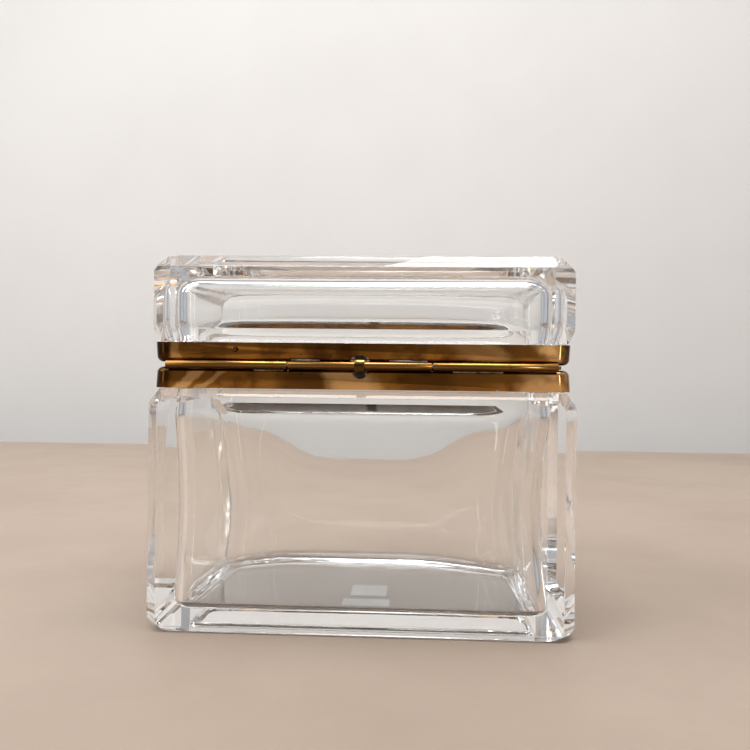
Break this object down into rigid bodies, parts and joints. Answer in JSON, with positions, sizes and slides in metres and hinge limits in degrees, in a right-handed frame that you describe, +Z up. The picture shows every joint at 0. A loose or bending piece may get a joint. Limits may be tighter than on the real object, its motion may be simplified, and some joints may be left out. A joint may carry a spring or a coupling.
{
  "type": "hinged crystal casket",
  "caption": "Rectangular cut-crystal box with a hinged crystal lid, brass collars, a long barrel hinge and a small swivel catch.",
  "frame": {"origin": "on the table under the middle of the box, at the bottom centre of the whole object's box", "axes": "+X along the hinge, longest side; +Y towards the side that opens, with the catch; +Z up, the lid on top"},
  "size_m": [0.14, 0.0917, 0.123],
  "materials": {
    "crystal": "clear, polished, cut facets",
    "brass": "aged, hand-worn, browned in the hollows",
    "dark_steel": "dark, oiled steel wire",
    "cement": "matte set plaster",
    "paper": "matte white paper"
  },
  "bodies": {
    "root": {"body_glass": "crystal", "base_collar": "brass", "base_cement": "cement", "locating_bezel": "brass", "hinge_leaf_left": "brass", "hinge_leaf_right": "brass", "hinge_pin": "dark_steel", "stop_strap": "brass", "keeper_stud": "brass", "price_label": "paper", "square_label": "paper"},
    "lid": {"lid_glass": "crystal", "lid_collar": "brass", "lid_cement": "cement", "hinge_leaf_lid": "brass", "lid_collar_pin": "dark_steel", "latch_rivet": "brass", "latch_washer": "brass"},
    "latch": {"latch_lever": "brass"}
  },
  "joints": [
    {"name": "lid_hinge", "type": "hinge", "parent": "root", "child": "lid", "pos_m": [0, -0.0434, 0.0872], "axis": [1, 0, 0], "range_deg": [0, 100]},
    {"name": "catch_swivel", "type": "hinge", "parent": "lid", "child": "latch", "pos_m": [0, 0.0443, 0.0912], "axis": [0, 1, 0], "range_deg": [0, 90]}
  ]
}
